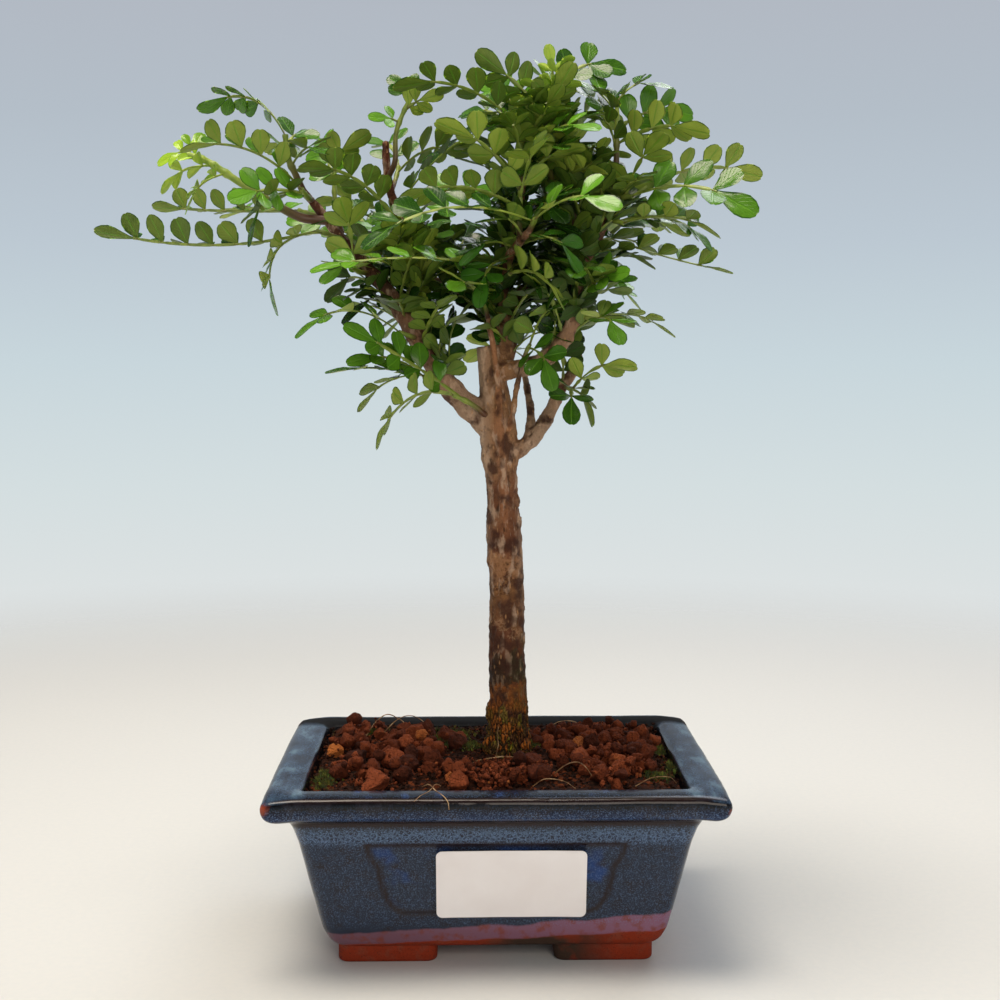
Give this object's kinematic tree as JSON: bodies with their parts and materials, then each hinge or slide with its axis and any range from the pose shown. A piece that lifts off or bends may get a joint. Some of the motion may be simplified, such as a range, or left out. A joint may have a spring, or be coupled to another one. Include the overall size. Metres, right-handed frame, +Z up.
{
  "type": "chinese pepper bonsai",
  "caption": "Small indoor tree with a slim trunk, forked limbs and feathered evergreen leaves, planted in soil and gravel in a rectangular footed glazed pot.",
  "frame": {"origin": "middle of the whole bounding box, on the table under the feet", "axes": "+Z up along the trunk, the longest side; -Y to the front with the label; +X to the right seen from the front"},
  "size_m": [0.227, 0.1284, 0.3095],
  "materials": {
    "glazed_stoneware": "blue speckled glaze, bare red clay at the foot",
    "polythene_net": "moulded net",
    "label_paper": "smooth coated paper",
    "potting_soil": "crumbly, damp",
    "lava_gravel": "rough, porous",
    "bark": "fissured bark",
    "leaf": "glossy",
    "young_leaf": "soft sheen"
  },
  "bodies": {
    "root": {"drain_net_left": "polythene_net", "drain_net_right": "polythene_net", "gravel_front": "lava_gravel", "gravel_left": "lava_gravel", "gravel_right": "lava_gravel", "label": "label_paper", "pot": "glazed_stoneware", "shoot_back_left_low": "leaf", "shoot_back_left_tip": "leaf", "shoot_back_left_up": "leaf", "shoot_back_right_low": "leaf", "shoot_back_right_tip": "leaf", "shoot_back_right_up": "leaf", "shoot_centre_top": "leaf", "shoot_crown": "leaf", "shoot_crown_back": "leaf", "shoot_fork_back": "leaf", "shoot_fork_front": "leaf", "shoot_fork_low": "leaf", "shoot_fork_top": "leaf", "shoot_front_low": "leaf", "shoot_front_tip": "leaf", "shoot_front_up": "leaf", "shoot_left_back": "leaf", "shoot_left_front": "leaf", "shoot_left_high": "leaf", "shoot_left_reach": "leaf", "shoot_left_top": "leaf", "shoot_left_under": "leaf", "shoot_left_young": "young_leaf", "shoot_limb_front": "leaf", "shoot_limb_left": "leaf", "shoot_low_back": "leaf", "shoot_low_end": "leaf", "shoot_low_front": "leaf", "shoot_right_back": "leaf", "shoot_right_droop": "leaf", "shoot_right_front": "leaf", "shoot_right_low": "leaf", "shoot_right_small": "leaf", "shoot_right_top": "leaf", "shoot_right_tuft": "leaf", "shoot_stub": "leaf", "shoot_trunk_left": "leaf", "shoot_twig": "leaf", "soil": "potting_soil", "trunk": "bark"}
  },
  "joints": []
}
